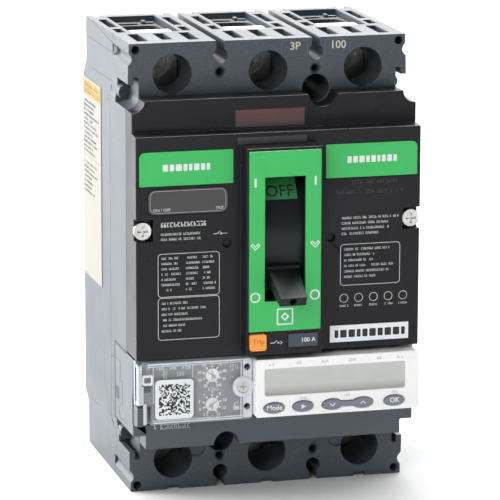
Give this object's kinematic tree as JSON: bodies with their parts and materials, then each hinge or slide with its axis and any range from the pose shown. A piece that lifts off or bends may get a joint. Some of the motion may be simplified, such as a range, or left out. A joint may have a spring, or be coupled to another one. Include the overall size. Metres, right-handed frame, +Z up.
{
  "type": "molded case circuit breaker",
  "caption": "Molded case circuit breaker with a toggle handle, clamp lugs at both ends and an electronic trip unit with display, keys and setting dials.",
  "frame": {"origin": "centre of the flat rear mounting face", "axes": "+Z up towards the line terminals, front towards -Y, +X to the right seen from the front"},
  "size_m": [0.1046, 0.1058, 0.163],
  "materials": {
    "terminal_molding": "fine grained dark blue-grey molding compound",
    "cover_molding": "satin near-black",
    "green_plastic": "satin green",
    "orange_plastic": "satin orange",
    "window_smoke": "gloss smoked lens",
    "white_print": "printed white label",
    "slate_plate": "satin slate",
    "label_paper": "printed label film",
    "unit_grey": "satin mid grey",
    "unit_dark": "satin dark grey",
    "display_white": "satin white",
    "lcd": "gloss display lens",
    "key_grey": "satin grey",
    "dial_white": "satin white",
    "clear_plastic": "clear polycarbonate",
    "handle_black": "satin black",
    "zinc_steel": "zinc plated",
    "dark_steel": "pressed steel",
    "aluminium": "extruded",
    "copper": "bare copper",
    "rotor_resin": "brown molding resin",
    "cartridge_resin": "cream insulating resin",
    "board_green": "coated board",
    "spring_steel": "drawn wire"
  },
  "bodies": {
    "case": {"base_case": "terminal_molding", "mid_case": "terminal_molding", "accessory_cover": "cover_molding", "handle_bezel": "green_plastic", "left_label_plate": "green_plastic", "right_label_plate": "green_plastic", "indicator_window": "window_smoke", "marking_plate": "white_print", "rating_plate": "slate_plate", "side_label": "label_paper", "cover_screws": "zinc_steel", "case_screws": "zinc_steel", "trip_unit_housing": "unit_dark", "trip_unit_panel": "unit_grey", "hinge_pin": "zinc_steel", "display_frame": "display_white", "display_screen": "lcd", "trip_spring": "spring_steel", "line_conductors": "copper", "load_conductors": "copper", "line_lugs": "aluminium", "load_lugs": "aluminium", "lug_screws": "zinc_steel", "arc_chutes": "dark_steel", "pole_cartridges": "cartridge_resin", "mechanism_frame": "dark_steel", "mechanism_pins": "zinc_steel", "current_transformers": "rotor_resin", "circuit_board": "board_green", "trip_actuator": "dark_steel"},
    "toggle": {"handle": "handle_black", "handle_shield": "handle_black", "handle_yoke": "dark_steel", "link_pin": "zinc_steel", "toggle_springs": "spring_steel"},
    "link": {"drive_link": "dark_steel"},
    "contacts": {"rotor_1": "rotor_resin", "rotor_2": "rotor_resin", "rotor_3": "rotor_resin", "contact_arm_1": "copper", "contact_arm_2": "copper", "contact_arm_3": "copper", "crossbar_pins": "zinc_steel", "crank_pin": "zinc_steel"},
    "trip_push": {"trip_button": "orange_plastic"},
    "latch_bar": {"trip_bar": "cartridge_resin"},
    "latch_cradle": {"cradle": "dark_steel"},
    "plunger": {"actuator_plunger": "zinc_steel"},
    "clear_flap": {"seal_cover": "clear_plastic", "seal_screw": "unit_grey", "code_label": "white_print"},
    "current_setting": {"current_dial": "dial_white"},
    "time_setting": {"time_dial": "dial_white"},
    "mode_push": {"mode_key": "key_grey"},
    "right_push": {"right_key": "key_grey"},
    "ok_push": {"ok_key": "key_grey"},
    "rocker": {"down_up_key": "key_grey"}
  },
  "joints": [
    {"name": "handle_throw", "type": "hinge", "parent": "case", "child": "toggle", "pos_m": [0, -0.058, 0.014], "axis": [-1, 0, 0], "range_deg": [0, 46.8]},
    {"name": "link_swing", "type": "hinge", "parent": "toggle", "child": "link", "pos_m": [0, -0.06711, 0.01761], "axis": [-1, 0, 0], "range_deg": [-46.9, 0]},
    {"name": "contact_turn", "type": "hinge", "parent": "case", "child": "contacts", "pos_m": [0, -0.022, 0], "axis": [-1, 0, 0], "range_deg": [0, 35.1]},
    {"name": "trip_press", "type": "slide", "parent": "case", "child": "trip_push", "axis": [0, 1, 0], "range_m": [0, 0.002], "stiffness_N_per_m": 400, "springref_m": -0.002},
    {"name": "latch_bar_turn", "type": "hinge", "parent": "case", "child": "latch_bar", "pos_m": [0, -0.056, -0.0175], "axis": [1, 0, 0], "range_deg": [0, 16.1]},
    {"name": "cradle_release", "type": "hinge", "parent": "case", "child": "latch_cradle", "pos_m": [0, -0.042, 0.031], "axis": [-1, 0, 0], "range_deg": [0, 2.7]},
    {"name": "plunger_strike", "type": "slide", "parent": "case", "child": "plunger", "axis": [0, 0, 1], "range_m": [0, 0.0015], "stiffness_N_per_m": 300, "springref_m": -0.001},
    {"name": "flap_open", "type": "hinge", "parent": "case", "child": "clear_flap", "pos_m": [-0.051, -0.0853, -0.038], "axis": [0, 0, -1], "range_deg": [0, 110]},
    {"name": "current_dial_turn", "type": "hinge", "parent": "case", "child": "current_setting", "pos_m": [-0.0239, -0.082, -0.0364], "axis": [0, -1, 0], "range_deg": [-135, 135]},
    {"name": "time_dial_turn", "type": "hinge", "parent": "case", "child": "time_setting", "pos_m": [-0.0239, -0.082, -0.0471], "axis": [0, -1, 0], "range_deg": [-135, 135]},
    {"name": "mode_key_press", "type": "slide", "parent": "case", "child": "mode_push", "axis": [0, 1, 0], "range_m": [0, 0.0006], "stiffness_N_per_m": 800, "springref_m": -0.0006},
    {"name": "right_key_press", "type": "slide", "parent": "case", "child": "right_push", "axis": [0, 1, 0], "range_m": [0, 0.0006], "stiffness_N_per_m": 800, "springref_m": -0.0006},
    {"name": "ok_key_press", "type": "slide", "parent": "case", "child": "ok_push", "axis": [0, 1, 0], "range_m": [0, 0.0006], "stiffness_N_per_m": 800, "springref_m": -0.0006},
    {"name": "rocker_tilt", "type": "hinge", "parent": "case", "child": "rocker", "pos_m": [0.02455, -0.0876, -0.0483], "axis": [0, 0, 1], "range_deg": [-2.5, 2.5], "stiffness_Nm_per_rad": 0.05}
  ],
  "couplings": [
    {"joint": "link_swing", "follows": "handle_throw", "ratio": -1},
    {"joint": "contact_turn", "follows": "handle_throw", "ratio": 0.74786},
    {"joint": "latch_bar_turn", "follows": "trip_press", "rad_per_m": 139.63},
    {"joint": "cradle_release", "follows": "trip_press", "rad_per_m": 22.689}
  ]
}
